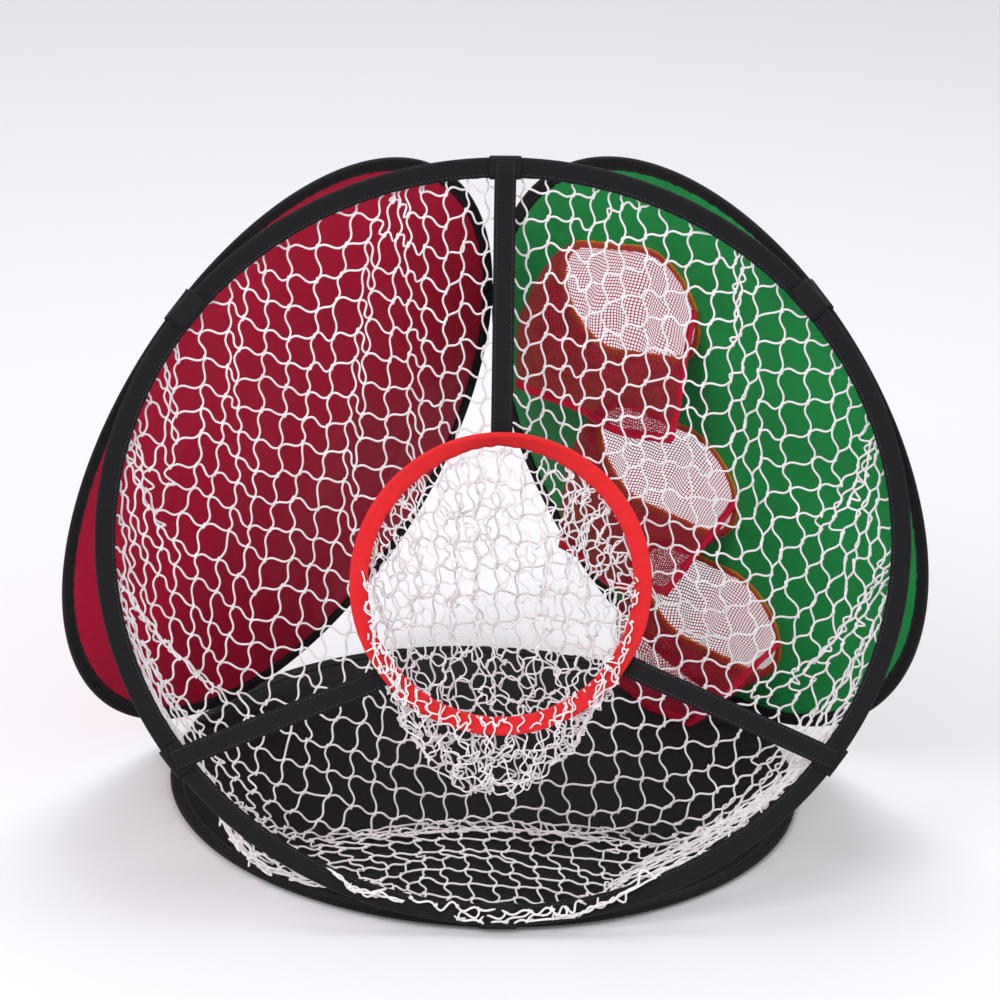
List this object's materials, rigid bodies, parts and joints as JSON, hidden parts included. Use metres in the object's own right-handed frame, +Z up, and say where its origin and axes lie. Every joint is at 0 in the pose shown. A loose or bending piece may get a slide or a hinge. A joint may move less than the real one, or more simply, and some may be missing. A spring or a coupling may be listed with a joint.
{
  "type": "golf chipping net",
  "caption": "Pop-up golf chipping net: leaning sprung hoop with a loose white net and a red target ring, on red, green and black cloth discs.",
  "frame": {"origin": "on the floor under the middle of the whole net", "axes": "+Z up, the open face looks along -Y, +X to the right seen from the front"},
  "size_m": [0.6783, 0.5678, 0.5522],
  "materials": {
    "spring_steel": "drawn spring wire",
    "black_binding": "folded woven tape, stitched",
    "black_webbing": "ribbed polyester webbing",
    "bright_red_fabric": "woven polyester, stitched",
    "dark_red_fabric": "thin taut polyester",
    "green_fabric": "thin taut polyester",
    "black_fabric": "thin taut polyester",
    "yellow_binding": "folded tape, stitched",
    "red_mesh": "fine knitted mesh with tape hem",
    "white_twine": "soft knotless twine net"
  },
  "bodies": {
    "base": {"black_binding": "black_binding", "black_wire": "spring_steel", "black_ferrule": "spring_steel", "black_cloth": "black_fabric", "black_tie": "black_webbing", "tie_black_red": "black_webbing", "tie_black_green": "black_webbing"},
    "frame": {"hoop_sleeve": "black_binding", "hoop_wire": "spring_steel", "hoop_ferrule": "spring_steel", "hoop_tie_red": "black_webbing", "hoop_tie_green": "black_webbing", "hoop_tie_black": "black_webbing", "strap_tab_top": "black_webbing", "strap_tab_left": "black_webbing", "strap_left": "black_webbing", "strap_tab_right": "black_webbing", "strap_right": "black_webbing", "catch_net": "white_twine"},
    "red_panel": {"red_binding": "black_binding", "red_wire": "spring_steel", "red_ferrule": "spring_steel", "red_cloth": "dark_red_fabric", "red_tie": "black_webbing", "tie_red_green": "black_webbing"},
    "green_panel": {"green_binding": "black_binding", "green_wire": "spring_steel", "green_ferrule": "spring_steel", "green_cloth": "green_fabric", "green_tie": "black_webbing", "hole_binding_top": "yellow_binding", "pocket_top": "red_mesh", "hem_top": "red_mesh", "hole_binding_middle": "yellow_binding", "pocket_middle": "red_mesh", "hem_middle": "red_mesh", "hole_binding_bottom": "yellow_binding", "pocket_bottom": "red_mesh", "hem_bottom": "red_mesh"},
    "target": {"ring_loop_top": "black_webbing", "strap_top": "black_webbing", "ring_loop_left": "black_webbing", "ring_loop_right": "black_webbing", "target_sleeve": "bright_red_fabric", "target_wire": "spring_steel", "target_ferrule": "spring_steel", "target_net": "white_twine", "target_net_slack": "white_twine"}
  },
  "joints": [
    {"name": "frame_fold", "type": "hinge", "parent": "base", "child": "frame", "pos_m": [0.0008, -0.2723, 0.00395], "axis": [1, 0, 0], "range_deg": [0, 108]},
    {"name": "red_panel_fold", "type": "hinge", "parent": "frame", "child": "red_panel", "pos_m": [-0.277, -0.1212, 0.39757], "axis": [0.5034, 0.2866, 0.8152], "range_deg": [0, 118]},
    {"name": "green_panel_fold", "type": "hinge", "parent": "frame", "child": "green_panel", "pos_m": [0.27791, -0.12074, 0.39878], "axis": [0.4871, -0.3032, -0.819], "range_deg": [0, 116]},
    {"name": "target_swing", "type": "hinge", "parent": "frame", "child": "target", "pos_m": [-0.00462, -0.07822, 0.53411], "axis": [1, 0, 0], "range_deg": [-6, 8], "stiffness_Nm_per_rad": 4}
  ]
}
